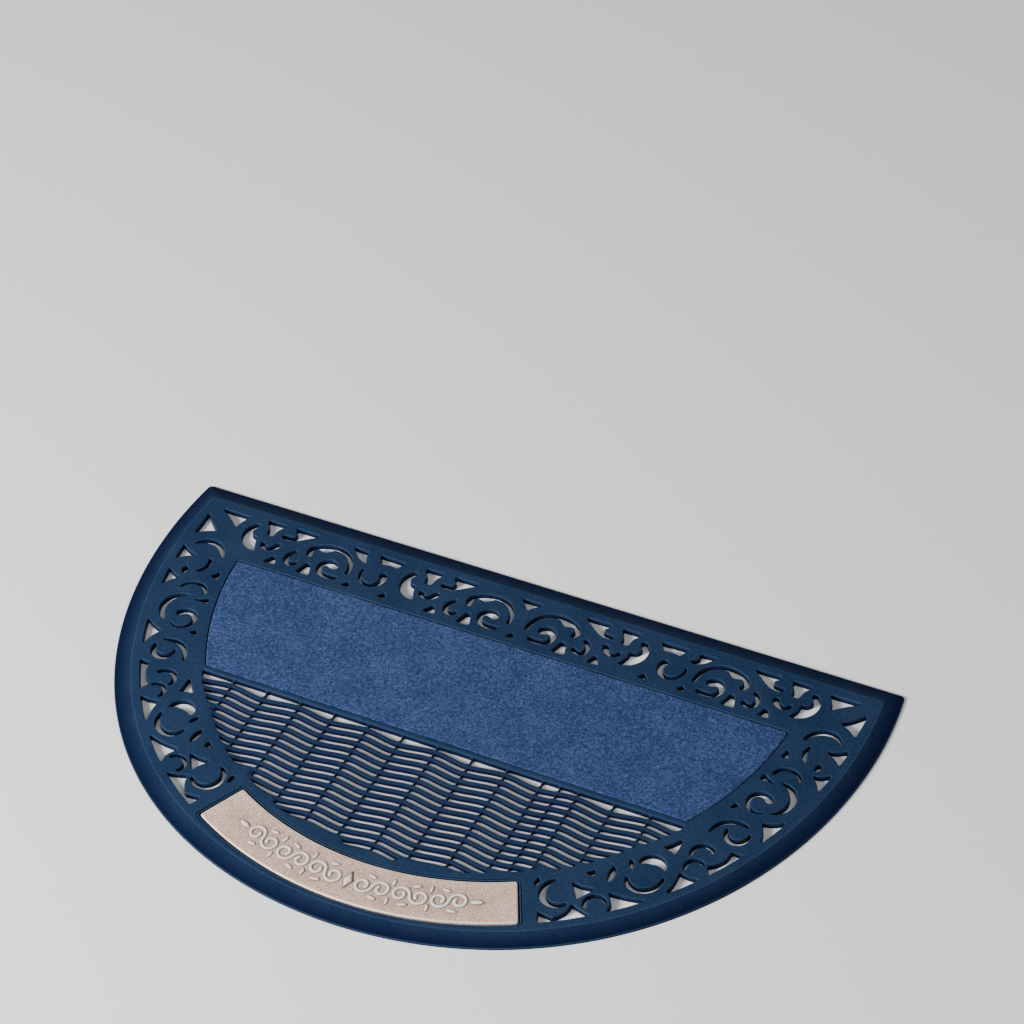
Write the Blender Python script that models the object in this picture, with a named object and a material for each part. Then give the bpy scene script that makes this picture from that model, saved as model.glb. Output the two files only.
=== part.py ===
"""Half-round rubber doormat: a pierced rubber body, a felt insert and a raised plate.

The mat lies on the floor with its straight edge towards +Y and its round edge towards -Y.
The origin is on the floor, under the middle of the mat's bounding box.
"""
import math

import bmesh
import bpy

# Outline of the mat, in metres
DEPTH = 0.450
ARC_RADIUS = 0.3828
ARC_SQUARENESS = 0.0020
ARC_CENTRE = DEPTH - ARC_RADIUS + ARC_SQUARENESS
ARC_STEPS = 64
CORNER_RADIUS = 0.004

# Heights above the floor
BODY_TOP = 0.0060
LIP_HEIGHT = 0.0018
GRILLE_TOP = 0.0044
RECESS_FLOOR = 0.0024
FIT_GAP = 0.0003
CARPET_THICKNESS = 0.0032
PLATE_THICKNESS = 0.0034
PLATE_CHAMFER = 0.0006
RELIEF_HEIGHT = 0.0008

# Rim, insert and plate, as radii about the centre of the round edge
# and as distances from the straight edge
BEVEL_WIDTH = 0.0170
CARPET_RADIUS = 0.2955
CARPET_NEAR = 0.0848
CARPET_FAR = 0.2212
CARPET_CORNER = 0.005
CARPET_FAR_CORNER = 0.002
CARPET_CLEARANCE = 0.0005
PLATE_INNER = 0.3078
PLATE_OUTER = 0.3590
PLATE_HALF_ANGLE = 27.6
PLATE_CLEARANCE = 0.0008
PLATE_CORNER = 0.004

# Wavy grille
GRILLE_RADIUS = 0.2985
GRILLE_NEAR = 0.2265
GRILLE_MARGIN = 0.0012
ROW_COUNT = 15
FIRST_ROW = 0.2300
ROW_PITCH = 0.0094
LAST_ROW_REACH = 0.029
SLOT_HEIGHT = 0.0054
CELL_PITCH = 0.0365
TIE_WIDTH = 0.0028
WAVE_HEIGHT = 0.0021
EXTRA_TIE = 0.1274
EXTRA_TIE_WIDTH = 0.0018
SHORTEST_SLOT = 0.005

# Border scrollwork
BAND_MIDDLE = 0.330
REPEAT = 175.0
TIP_WIDTH = 2.2
BLOB_WIDTH = 4.0
DEGREES_A_STATION = 32
MM = 0.001

# Curled openings. Each is a stroke along a spiral about a point of the border.
# Columns: place, depth from the edge, radius at start and end, squash across the border,
# start angle, sweep, width at start, middle and end. Lengths in mm, angles in degrees.
# Angle 0 points along the border away from the middle, 90 points towards the insert.
CURLS_ALONG_STRAIGHT = [
    ("great arc", 36.5, 55, 23, 24, 0.84, -4, -190, 4, 7, 1.5),
    ("volute", 32, 62.5, 8, 11, 1, -130, 275, 8, 4.5, 1.5),
    ("comma", 111.5, 47, 19.5, 19.5, 1, -42, 124, 1.5, 11, 1.5),
    ("hook", 71, 61.5, 8, 8, 1, -76, 196, 2, 4.5, 2),
    ("shallow hook", 102, 50, 9, 9, 1, 5, 165, 1.5, 4, 2),
]
CURL_BETWEEN = ("cup hook", 160, 54, 14, 10, 1, -20, 225, 2, 4.5, 8)

# The same columns, with the place as an angle from the middle of the round edge.
CURLS_ALONG_ROUND = [
    ("corner hook", 86.3, 48, 16, 21, 1, 228, -133, 2, 7, 3),
    ("small hook", 84.4, 47, 14, 14, 1, 115, -85, 2.5, 4.5, 3),
    ("open hook", 77.0, 60, 16, 12, 1, 242, -142, 2.5, 4.5, 4),
    ("arc", 73.3, 56, 18, 21, 1, 177, 146, 2.5, 7, 1.5),
    ("volute", 71.0, 60, 9, 13, 1, 214, -270, 8, 5, 1.5),
    ("crescent", 62.3, 47, 21.5, 21.5, 1, 180, -112, 2.5, 5.5, 2),
    ("cup", 64.1, 48, 11, 11, 1, 239, 190, 2.5, 7, 2),
    ("arch", 57.2, 49, 10.5, 10, 1, 207, -178, 4, 5, 3),
    ("small arch", 54.9, 40, 8, 8.5, 1, 196, -176, 3, 4.5, 3),
    ("fat comma", 48.5, 57, 14.5, 12.5, 1, 206, -126, 2, 12, 5),
    ("great cup", 47.1, 53, 19, 14, 1, 216, 161, 2.5, 6.5, 3),
    ("arch", 38.7, 37, 9, 9, 1, 186, -197, 3, 4.5, 3),
    ("great hook", 33.8, 56, 16, 14, 1, 88, -195, 3, 7, 3.5),
]

# Cornered openings. Columns: place, depth, hollowing of every side but the first,
# corners as pairs (along the border, across it) about that point.
CORNERED_ALONG_STRAIGHT = [
    ("dart", 54, 70, 1.0, [(6, 6.5), (-6, 6.5), (0, -6.5)]),
    ("pip", 91, 73, 0.0, [(6, 3.5), (-6, 3.5), (-1, -4)]),
    ("funnel", 109, 33, 0.0, [(9, -8), (-10, -6.5), (-5, 0), (-3, 8.5), (1, 8.5), (3, 0)]),
    ("tailed wedge", 75, 33, 0.0, [(11, -8), (-13, -6.5), (-1, 1), (4, 7.5), (14, 9.5),
                                   (20, 7), (12, 5), (9, 0)]),
]
CORNERED_BETWEEN = [
    ("pip", 140, 73, 0.0, [(6, 3.5), (-6, 3.5), (-1, -4)]),
    ("pip", 180, 73, 0.0, [(6, 3.5), (-6, 3.5), (-1, -4)]),
    ("cup", 152, 31, 0.0, [(15, -6), (-15, -5), (-10.5, 1), (-9, 5), (-1, 3.5), (9, 5.5), (11, 0)]),
    ("leaning wedge", 185, 32, 0.0, [(12, -7), (-7, -6), (-6, 1), (-13, 6), (-9, 9), (0, 6), (6, -1)]),
]
CORNERED_AT_CORNER = [
    ("corner wedge", 327, 33, 2.0, [(19, -6), (-16, -6), (-8, 13)]),
    ("corner wedge", 346, 53, 2.0, [(8, 16), (8, -16), (-13, 4)]),
]
CORNERED_AT_MIDDLE = [
    ("middle wedge", 0, 31, 0.0, [(13, -6), (-13, -6), (-5, 1), (0, 7), (5, 1)]),
    ("middle pip", 0, 73, 0.0, [(5.5, 3.5), (-5.5, 3.5), (0, -4)]),
]
CORNERED_ALONG_ROUND = [
    ("wedge", 85.7, 35, 2.0, [(-10, -10), (10, -10), (0, 11)]),
    ("wedge", 80.0, 33, 2.0, [(-12, -8), (12, -8), (-2, 8)]),
    ("long wedge", 68.0, 33, 2.0, [(-17, -8), (17, -8), (-1, 9)]),
    ("double wedge", 58.9, 30, 0.0, [(-18, -5), (18, -5), (13, 5), (4, 1), (-4, 1), (-13, 5)]),
    ("long wedge", 51.5, 30, 1.5, [(-17, -5), (17, -5), (-6, 12)]),
    ("great wedge", 42.9, 30, 1.0, [(-19, -5), (18, -5), (11, 3), (10, 17)]),
    ("double wedge", 33.7, 30, 0.0, [(-23, -5), (22, -5), (20, 8), (8, -1), (-3, 3), (-10, 12), (-15, 5)]),
    ("leaf", 37.4, 55, 1.5, [(-13, -2), (7.5, -10), (7.5, 12)]),
    ("inner wedge", 54.5, 71, 1.0, [(-13, 3), (5, -9), (11, 5)]),
    ("pip", 82.0, 75, 0.0, [(6, 3), (-8, 2), (2, -6)]),
    ("dart", 75.6, 71, 0.8, [(-4.5, 8), (4.5, 8), (0, -10)]),
    ("pip", 67.5, 73, 0.0, [(5, 4), (-5, 3), (-1, -5)]),
    ("pip", 39.7, 72, 0.0, [(6, 3.5), (-6, 3.5), (-1, -4.5)]),
]

# Short straight openings. Columns: place, depth, length, width, lean from the border's run.
BARS_ALONG_ROUND = [
    (82.1, 41, 11, 6, 0),
    (46.5, 70, 13, 5, -72),
    (42.8, 66, 20, 6.5, -55),
    (30.6, 72, 12, 4.5, -65),
]

# Raised ornament of the plate: a running scroll with leaves, mirrored about the middle.
# Columns as for the curls, with the place along the plate from its middle, in mm.
RELIEF_CURLS = [
    (20, 3, 9, 5, 1, 200, 300, 2, 3.6, 4.5),
    (47, -2, 9.5, 5, 1, 20, 300, 2, 3.6, 4.5),
    (75, 2, 9, 5, 1, 200, 300, 2, 3.6, 4.5),
    (104, 8, 13, 13, 1, 235, 80, 1.5, 4, 1.5),
]
RELIEF_LEAVES = [
    (34, 10, 12, 4, 35),
    (34, -12, 13, 4, -15),
    (61, -11, 12, 4, 25),
    (62, 11, 13, 4, -15),
    (89, -9, 13, 4, 15),
    (91, 10, 12, 4, -30),
    (117, -4, 11, 4, 10),
]
RELIEF_LOZENGE = [(0, -9), (4.5, 0), (0, 9), (-4.5, 0)]
RELIEF_MIDDLE = 0.3335


def make_material(name, colour, roughness, metallic=0.0):
    """One plain Principled material."""
    material = bpy.data.materials.new(name)
    material.use_nodes = True
    shader = material.node_tree.nodes["Principled BSDF"]
    shader.inputs["Base Color"].default_value = (*colour, 1.0)
    shader.inputs["Roughness"].default_value = roughness
    shader.inputs["Metallic"].default_value = metallic
    material.diffuse_color = (*colour, 1.0)
    return material


def edge_radius(angle):
    """Radius of the round edge at an angle from its middle; slightly squarer than a circle."""
    return ARC_RADIUS - ARC_SQUARENESS * math.cos(4 * angle)


def from_centre(radius, angle):
    """A point given by radius and angle about the centre of the round edge."""
    return (radius * math.sin(angle), DEPTH / 2 - ARC_CENTRE - radius * math.cos(angle))


def at_distance(x, distance):
    """A point given by its distance from the straight edge."""
    return (x, DEPTH / 2 - distance)


def rounded(points, corners, radius, steps=3):
    """Replace some corners of a closed outline by short curves."""
    result = []
    for index, point in enumerate(points):
        if index not in corners:
            result.append(point)
            continue
        before = points[index - 1]
        after = points[(index + 1) % len(points)]
        ends = []
        for other in (before, after):
            length = math.dist(point, other)
            reach = min(radius, 0.4 * length) / length
            ends.append([p + (q - p) * reach for p, q in zip(point, other)])
        for step in range(steps + 1):
            t = step / steps
            weights = ((1 - t) ** 2, 2 * t * (1 - t), t * t)
            sources = (ends[0], point, ends[1])
            result.append(tuple(sum(w * s[axis] for w, s in zip(weights, sources)) for axis in range(2)))
    return result


def mat_outline(inset):
    """The mat's outline moved inwards: straight edge, then the round edge."""
    corner = math.pi / 2
    for _ in range(20):
        cosine = (inset - ARC_CENTRE) / (edge_radius(corner) - inset)
        corner = math.acos(cosine)
    points = []
    for step in range(ARC_STEPS + 1):
        angle = corner * (1 - 2 * step / ARC_STEPS)
        points.append(from_centre(edge_radius(angle) - inset, angle))
    return rounded(points, {0, ARC_STEPS}, CORNER_RADIUS)


def insert_outline(radius, near, far, corner, far_corner):
    """Outline with straight near and far sides and round ends."""
    points = []
    start = math.acos((near - ARC_CENTRE) / radius)
    end = math.acos((far - ARC_CENTRE) / radius)
    steps = 8
    for side in (1, -1):
        arc = []
        for step in range(steps + 1):
            angle = start + (end - start) * step / steps
            arc.append(from_centre(radius, side * angle))
        points.extend(arc if side > 0 else arc[::-1])
    last = len(points) - 1
    points = rounded(points, {0, last}, corner)
    half = len(points) // 2
    return rounded(points, {half - 1, half}, far_corner)


def grille_outline():
    """Outline of the sunken grille: a straight near side and a round far side."""
    radius = GRILLE_RADIUS + GRILLE_MARGIN
    corner = math.acos((GRILLE_NEAR - GRILLE_MARGIN - ARC_CENTRE) / radius)
    steps = 40
    angles = [corner * (1 - 2 * step / steps) for step in range(steps + 1)]
    return rounded([from_centre(radius, angle) for angle in angles], {0, steps}, 0.002)


def plate_outline(clearance):
    """Outline of the curved plate or, with no clearance, of its recess."""
    inner = PLATE_INNER + clearance
    outer = PLATE_OUTER - clearance
    half = math.radians(PLATE_HALF_ANGLE) - clearance / RELIEF_MIDDLE
    steps = 20
    angles = [half * (1 - 2 * step / steps) for step in range(steps + 1)]
    points = [from_centre(inner, angle) for angle in angles]
    points += [from_centre(outer, angle) for angle in reversed(angles)]
    corners = {0, steps, steps + 1, 2 * steps + 1}
    return rounded(points, corners, PLATE_CORNER - clearance)


def on_straight(place, depth):
    """Mapping from border coordinates in mm to the mat, along the straight edge."""
    def locate(along, across):
        return at_distance((place + along) * MM, (depth + across) * MM)
    return locate


def on_round(place, depth):
    """Mapping from border coordinates in mm to the mat, along the round edge."""
    def locate(along, across):
        angle = math.radians(place) - along * MM / BAND_MIDDLE
        return from_centre(edge_radius(angle) - (depth + across) * MM, angle)
    return locate


def on_plate(place, depth):
    """Mapping from plate coordinates in mm to the mat."""
    def locate(along, across):
        angle = (place + along) * MM / RELIEF_MIDDLE
        return from_centre(RELIEF_MIDDLE - (depth + across) * MM, angle)
    return locate


def curl(locate, radius_0, radius_1, squash, start, sweep, width_0, width_mid, width_1):
    """Outline of a stroke that follows a spiral and swells along its length.

    A narrow end runs out to a point, and a wide end gets one rounding point.
    """
    stations = max(4, 1 + round(abs(sweep) / DEGREES_A_STATION))
    outer = []
    inner = []
    tips = {0: [], stations - 1: []}
    for station in range(stations):
        t = station / (stations - 1)
        angle = math.radians(start + sweep * t)
        radius = radius_0 + (radius_1 - radius_0) * t
        width = (width_0 * (1 - t) * (1 - 2 * t) + 4 * width_mid * t * (1 - t)
                 + width_1 * t * (2 * t - 1))
        pointed = station in tips and width < TIP_WIDTH
        if pointed or (station in tips and width >= BLOB_WIDTH):
            ahead = math.copysign(1, sweep) if station else -math.copysign(1, sweep)
            push = 0.0 if pointed else 0.4 * width * ahead
            tips[station] = [(radius * math.cos(angle) - push * math.sin(angle),
                              squash * (radius * math.sin(angle) + push * math.cos(angle)))]
        if pointed:
            continue
        for chain, reach in ((outer, radius + width / 2), (inner, radius - width / 2)):
            chain.append((reach * math.cos(angle), squash * reach * math.sin(angle)))
    outline = tips[0] + outer + tips[stations - 1] + inner[::-1]
    return [locate(along, across) for along, across in outline]


def cornered(locate, hollow, corners):
    """Outline with straight or hollow sides; its first side stays straight."""
    middle = [sum(corner[axis] for corner in corners) / len(corners) for axis in range(2)]
    outline = []
    for index, corner in enumerate(corners):
        outline.append(corner)
        after = corners[(index + 1) % len(corners)]
        if hollow and index > 0:
            half = [(p + q) / 2 for p, q in zip(corner, after)]
            length = math.dist(half, middle)
            outline.append([h + (m - h) * hollow / length for h, m in zip(half, middle)])
    return [locate(along, across) for along, across in outline]


def bar(locate, length, width, lean):
    """Outline of a short lens-shaped opening."""
    angle = math.radians(lean)
    outline = []
    for along, across in [(0.5, 0), (0.25, 0.5), (-0.25, 0.5), (-0.5, 0), (-0.25, -0.5), (0.25, -0.5)]:
        u = along * length
        v = across * width
        outline.append((u * math.cos(angle) - v * math.sin(angle),
                        u * math.sin(angle) + v * math.cos(angle)))
    return [locate(along, across) for along, across in outline]


def mirrored(outline):
    """The same outline on the other side of the mat."""
    return [(-x, y) for x, y in reversed(outline)]


def border_openings():
    """All openings of the scrollwork border."""
    half = []
    for offset in (0.0, REPEAT):
        for _name, place, depth, *shape in CURLS_ALONG_STRAIGHT:
            half.append(curl(on_straight(place + offset, depth), *shape))
        for _name, place, depth, hollow, corners in CORNERED_ALONG_STRAIGHT:
            half.append(cornered(on_straight(place + offset, depth), hollow, corners))
    half.append(curl(on_straight(*CURL_BETWEEN[1:3]), *CURL_BETWEEN[3:]))
    for _name, place, depth, hollow, corners in CORNERED_BETWEEN + CORNERED_AT_CORNER:
        half.append(cornered(on_straight(place, depth), hollow, corners))
    for _name, place, depth, *shape in CURLS_ALONG_ROUND:
        half.append(curl(on_round(place, depth), *shape))
    for _name, place, depth, hollow, corners in CORNERED_ALONG_ROUND:
        half.append(cornered(on_round(place, depth), hollow, corners))
    for place, depth, length, width, lean in BARS_ALONG_ROUND:
        half.append(bar(on_round(place, depth), length, width, lean))
    openings = half + [mirrored(outline) for outline in half]
    for _name, place, depth, hollow, corners in CORNERED_AT_MIDDLE:
        openings.append(cornered(on_straight(place, depth), hollow, corners))
    return openings


def wave(x):
    """Height of the ribs' wave at x; one wave spans two cells."""
    return WAVE_HEIGHT * math.cos(math.pi * x / CELL_PITCH)


def grille_cells():
    """Spans between the ties, from one end of the grille to the other."""
    count = math.ceil(GRILLE_RADIUS / CELL_PITCH)
    cells = []
    for index in range(-count, count):
        low = index * CELL_PITCH + TIE_WIDTH / 2
        high = (index + 1) * CELL_PITCH - TIE_WIDTH / 2
        if low < EXTRA_TIE < high:
            cells.append((low, EXTRA_TIE - EXTRA_TIE_WIDTH / 2))
            cells.append((EXTRA_TIE + EXTRA_TIE_WIDTH / 2, high))
        else:
            cells.append((low, high))
    return cells


def grille_slots():
    """All slots between the wavy ribs, cut off by the round side of the grille."""
    slots = []
    for row in range(ROW_COUNT):
        middle = FIRST_ROW + row * ROW_PITCH
        limits = []
        for side in (-1, 1):
            level = middle + side * SLOT_HEIGHT / 2 - ARC_CENTRE
            limits.append(math.sqrt(GRILLE_RADIUS ** 2 - level ** 2))
        if row == ROW_COUNT - 1:
            limits = [LAST_ROW_REACH, LAST_ROW_REACH - 0.003]
        for low, high in grille_cells():
            spans = [(max(low, -limit), min(high, limit)) for limit in limits]
            if min(end - start for start, end in spans) < SHORTEST_SLOT:
                continue
            stations = 4 if high - low > CELL_PITCH / 2 else 3
            edges = []
            for side, (start, end) in zip((-1, 1), spans):
                chain = []
                for station in range(stations):
                    x = start + (end - start) * station / (stations - 1)
                    distance = middle - wave(x) + side * SLOT_HEIGHT / 2
                    chain.append(at_distance(x, distance))
                if row == 0 and side < 0:
                    chain = [at_distance(start, GRILLE_NEAR), at_distance(end, GRILLE_NEAR)]
                edges.append(chain)
            slots.append(edges[0] + edges[1][::-1])
    return slots


def add_ring(mesh, outline, height):
    """Place an outline at a height and return its vertices."""
    return [mesh.verts.new((x, y, height)) for x, y in outline]


def add_wall(mesh, lower, upper):
    """Join two rings of the same count with upright faces."""
    count = len(lower)
    for index in range(count):
        after = (index + 1) % count
        mesh.faces.new((lower[index], lower[after], upper[after], upper[index]))


def add_cap(mesh, rings):
    """Fill the flat area between an outer ring and the rings inside it."""
    edges = []
    for ring in rings:
        for index, vertex in enumerate(ring):
            after = ring[(index + 1) % len(ring)]
            edge = mesh.edges.get((vertex, after))
            edges.append(edge if edge else mesh.edges.new((vertex, after)))
    bmesh.ops.triangle_fill(mesh, use_beauty=True, use_dissolve=False, edges=edges, normal=(0, 0, 1))


def finish(mesh, name, material):
    """Turn the faces outwards and make the named object."""
    bmesh.ops.triangulate(mesh, faces=mesh.faces[:])
    bmesh.ops.recalc_face_normals(mesh, faces=mesh.faces[:])
    data = bpy.data.meshes.new(name)
    mesh.to_mesh(data)
    mesh.free()
    data.materials.append(material)
    part = bpy.data.objects.new(name, data)
    bpy.context.scene.collection.objects.link(part)
    return part


def make_body(material):
    """The moulded rubber body with its rim, border, grille and recesses."""
    mesh = bmesh.new()
    floor_ring = add_ring(mesh, mat_outline(0.0), 0.0)
    lip_ring = add_ring(mesh, mat_outline(0.0), LIP_HEIGHT)
    top_ring = add_ring(mesh, mat_outline(BEVEL_WIDTH), BODY_TOP)
    add_wall(mesh, floor_ring, lip_ring)
    add_wall(mesh, lip_ring, top_ring)
    bottom_rings = [floor_ring]
    top_rings = [top_ring]
    for outline in border_openings():
        low = add_ring(mesh, outline, 0.0)
        high = add_ring(mesh, outline, BODY_TOP)
        add_wall(mesh, low, high)
        bottom_rings.append(low)
        top_rings.append(high)
    grille = grille_outline()
    grille_rings = [add_ring(mesh, grille, GRILLE_TOP)]
    top_rings.append(add_ring(mesh, grille, BODY_TOP))
    add_wall(mesh, grille_rings[0], top_rings[-1])
    for outline in grille_slots():
        low = add_ring(mesh, outline, 0.0)
        high = add_ring(mesh, outline, GRILLE_TOP)
        add_wall(mesh, low, high)
        bottom_rings.append(low)
        grille_rings.append(high)
    recesses = [
        insert_outline(CARPET_RADIUS, CARPET_NEAR, CARPET_FAR, CARPET_CORNER, CARPET_FAR_CORNER),
        plate_outline(0.0),
    ]
    for outline in recesses:
        low = add_ring(mesh, outline, RECESS_FLOOR)
        high = add_ring(mesh, outline, BODY_TOP)
        add_wall(mesh, low, high)
        add_cap(mesh, [low])
        top_rings.append(high)
    add_cap(mesh, bottom_rings)
    add_cap(mesh, top_rings)
    add_cap(mesh, grille_rings)
    return finish(mesh, "rubber_mat", material)


def make_carpet(material):
    """The needle-felt insert in its recess."""
    mesh = bmesh.new()
    outline = insert_outline(
        CARPET_RADIUS - CARPET_CLEARANCE,
        CARPET_NEAR + CARPET_CLEARANCE,
        CARPET_FAR - CARPET_CLEARANCE,
        CARPET_CORNER - CARPET_CLEARANCE,
        CARPET_FAR_CORNER - CARPET_CLEARANCE,
    )
    low = add_ring(mesh, outline, RECESS_FLOOR + FIT_GAP)
    high = add_ring(mesh, outline, RECESS_FLOOR + FIT_GAP + CARPET_THICKNESS)
    add_wall(mesh, low, high)
    add_cap(mesh, [low])
    add_cap(mesh, [high])
    return finish(mesh, "carpet_insert", material)


def make_plate(material):
    """The curved plate with its raised running scroll."""
    mesh = bmesh.new()
    bottom = RECESS_FLOOR + FIT_GAP
    top = bottom + PLATE_THICKNESS
    low = add_ring(mesh, plate_outline(PLATE_CLEARANCE), bottom)
    shoulder = add_ring(mesh, plate_outline(PLATE_CLEARANCE), top - PLATE_CHAMFER)
    high = add_ring(mesh, plate_outline(PLATE_CLEARANCE + PLATE_CHAMFER), top)
    add_wall(mesh, low, shoulder)
    add_wall(mesh, shoulder, high)
    half = [curl(on_plate(place, depth), *shape) for place, depth, *shape in RELIEF_CURLS]
    half += [bar(on_plate(place, depth), *shape) for place, depth, *shape in RELIEF_LEAVES]
    locate = on_plate(0, 0)
    shapes = half + [mirrored(outline) for outline in half]
    shapes.append([locate(along, across) for along, across in RELIEF_LOZENGE])
    top_rings = [high]
    for outline in shapes:
        foot = add_ring(mesh, outline, top)
        crest = add_ring(mesh, outline, top + RELIEF_HEIGHT)
        add_wall(mesh, foot, crest)
        add_cap(mesh, [crest])
        top_rings.append(foot)
    add_cap(mesh, [low])
    add_cap(mesh, top_rings)
    return finish(mesh, "plaque", material)


def main():
    """Clear the scene and build the mat."""
    for leftover in list(bpy.data.objects):
        bpy.data.objects.remove(leftover, do_unlink=True)
    rubber = make_material("navy_rubber", (0.022, 0.050, 0.085), 0.62)
    felt = make_material("blue_felt", (0.036, 0.082, 0.200), 0.95)
    plate = make_material("champagne_plate", (0.560, 0.470, 0.420), 0.45, 0.25)
    make_body(rubber)
    make_carpet(felt)
    make_plate(plate)


if __name__ == "__main__":
    main()
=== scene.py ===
"""Half-round doormat, dressed: a pierced rubber body, a felt insert and an ornamented plate.

The mat lies on the floor with its straight edge towards +Y and its round edge towards -Y.
Lengths are in metres, and the ornament's tables are in millimetres and degrees.
"""
import math

import bpy
import numpy as np
from bpy.props import FloatProperty, FloatVectorProperty, PointerProperty
from mathutils import Matrix, geometry


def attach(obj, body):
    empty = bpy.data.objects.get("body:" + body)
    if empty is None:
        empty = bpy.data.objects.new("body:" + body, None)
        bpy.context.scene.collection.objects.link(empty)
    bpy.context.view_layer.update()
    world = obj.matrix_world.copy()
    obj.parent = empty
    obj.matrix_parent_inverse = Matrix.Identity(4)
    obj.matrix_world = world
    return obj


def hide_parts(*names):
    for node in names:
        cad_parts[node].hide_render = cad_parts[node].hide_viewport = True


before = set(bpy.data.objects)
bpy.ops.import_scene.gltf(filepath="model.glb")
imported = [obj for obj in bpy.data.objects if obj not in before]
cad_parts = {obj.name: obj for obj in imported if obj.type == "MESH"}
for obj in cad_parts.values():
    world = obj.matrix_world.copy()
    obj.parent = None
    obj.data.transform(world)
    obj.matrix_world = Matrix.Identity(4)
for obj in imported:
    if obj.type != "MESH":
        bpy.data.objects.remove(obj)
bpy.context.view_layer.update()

bl_info = {
    "name": "Half-Round Doormat",
    "version": (1, 0, 0),
    "blender": (4, 5, 0),
    "location": "View3D > Sidebar > Doormat",
    "description": "Makes a pierced rubber doormat with a felt insert and an ornamented plate",
    "category": "Add Mesh",
}

MM = 0.001

# Outline of the mat
DEPTH = 0.450
ARC_RADIUS = 0.3828
ARC_SQUARENESS = 0.0020
ARC_CENTRE = DEPTH - ARC_RADIUS + ARC_SQUARENESS
ARC_LINE = DEPTH / 2 - ARC_CENTRE
CORNER_REACH = 0.004

# Heights above the floor
BODY_TOP = 0.0060
GRILLE_TOP = 0.0044
RECESS_FLOOR = 0.0024
FIT_GAP = 0.0003
FELT_TOP = 0.0059
PLATE_TOP = 0.0061

# Insert and plate, as radii about the centre of the round edge and as distances
# from the straight edge
FELT_RADIUS = 0.2955
FELT_NEAR = 0.0848
FELT_FAR = 0.2212
FELT_CORNER = 0.005
FELT_FAR_CORNER = 0.002
SMALLEST_CORNER = 0.0004
FELT_CLEARANCE = 0.0009
PLATE_INNER = 0.3078
PLATE_OUTER = 0.3590
PLATE_HALF_ANGLE = 27.6
PLATE_CLEARANCE = 0.0016
PLATE_CORNER = 0.004
PLATE_MIDDLE = 0.3335

# Grid of points that carry the felt's unevenness
SWELL_REACH = 0.292
SWELL_STEP = 0.006
SWELL_MARGIN = 0.005

# Wavy grille
GRILLE_RADIUS = 0.2985
GRILLE_NEAR = 0.2265
ROW_COUNT = 15
FIRST_ROW = 0.2300
ROW_PITCH = 0.0094
LAST_ROW_REACH = 0.029
LAST_ROW_LEAN = 0.003
SLOT_HALF = 0.0025
SLOT_CORNER = 0.0013
CELL_PITCH = 0.0365
TIE_WIDTH = 0.0018
WAVE_HEIGHT = 0.0021
EXTRA_TIE = 0.1274
EXTRA_TIE_WIDTH = 0.0016
SHORTEST_SLOT = 0.005
DIP_MARGIN = 0.0004
GUIDE_RADIUS = 0.3007
GUIDE_NEAR = 0.2240
GUIDE_CORNER = 0.003
RAMP_ROUND = 0.0080
RAMP_NEAR = 0.0050

# Shares of the ribs' rounding that a slot's ends take, and of the ties' dip at a free end
END_ROUNDING = 0.35
FREE_END_DIP = 0.35

# Stage: the camera's target, its lens in mm, and the lights. Columns of the lights: name, place,
# size, share of the key power.
CAMERA_TARGET = (-0.077, 0.307, 0.0)
CAMERA_LENS = 135.52
SKY_COLOUR = (0.96, 0.98, 1.0, 1)
FLOOR_REACH = 9
LIGHTS = [("key_light", (-1.9, -2.3, 1.5), 1.3, 1.0), ("fill_light", (2.2, -0.6, 2.2), 2.4, 0.06)]

# Border scrollwork, in mm and degrees. BAND_MIDDLE is the radius on which lengths along the
# round border are measured. The straight border's repeat comes twice in each half, REPEAT apart:
# the place is measured from the middle and the depth from the edge.
BAND_MIDDLE = 330.0
REPEAT = 176.5

# Corners of the cornered openings: the turns in degrees past which one is sharp or a nook, the
# radius of the others, and the share of its shorter side that an arc may take.
SHARP_TURN = 100
NOOK_TURN = 52
GENTLE_RADIUS = 60.0
ARC_SHARE = 0.47
CLOSEST_POINTS = 0.35 * MM

# Channels of the repeat. Columns: name, stations as (place, depth, width), cusp as
# (place, depth, reach) or None.
CHANNELS_REPEATED = [
    ("great arc", [(9.6, 59.6, 4.2), (10.4, 52, 4.6), (14.4, 43.2, 4.8), (22.4, 36.4, 5.2),
                   (32, 34, 5.6), (41, 34.8, 6), (50, 37.6, 5.4), (56.8, 43.4, 6), (57.2, 48.8, 6.4),
                   (55.6, 51.6, 5.4)], (42.2, 43.4, 8)),
    ("volute", [(25.9, 56.2, 9.6), (31.2, 54.2, 9.4), (37.2, 57.2, 7), (38.6, 63.4, 5.6),
                (34.6, 69.2, 5.6), (27, 71, 5.8), (18.2, 70.2, 4.8)], None),
    ("hook", [(70.3, 53.3, 4.8), (75.2, 60.5, 5.2), (74, 67.3, 5.4), (68.6, 69.5, 5.6),
              (63.6, 67.3, 5)], None),
    ("shallow hook", [(90.8, 52.6, 6.8), (94.4, 57.2, 6.2), (98.8, 59.6, 5), (103.5, 58.6, 5),
                      (106.3, 55.6, 5)], None),
]

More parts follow.
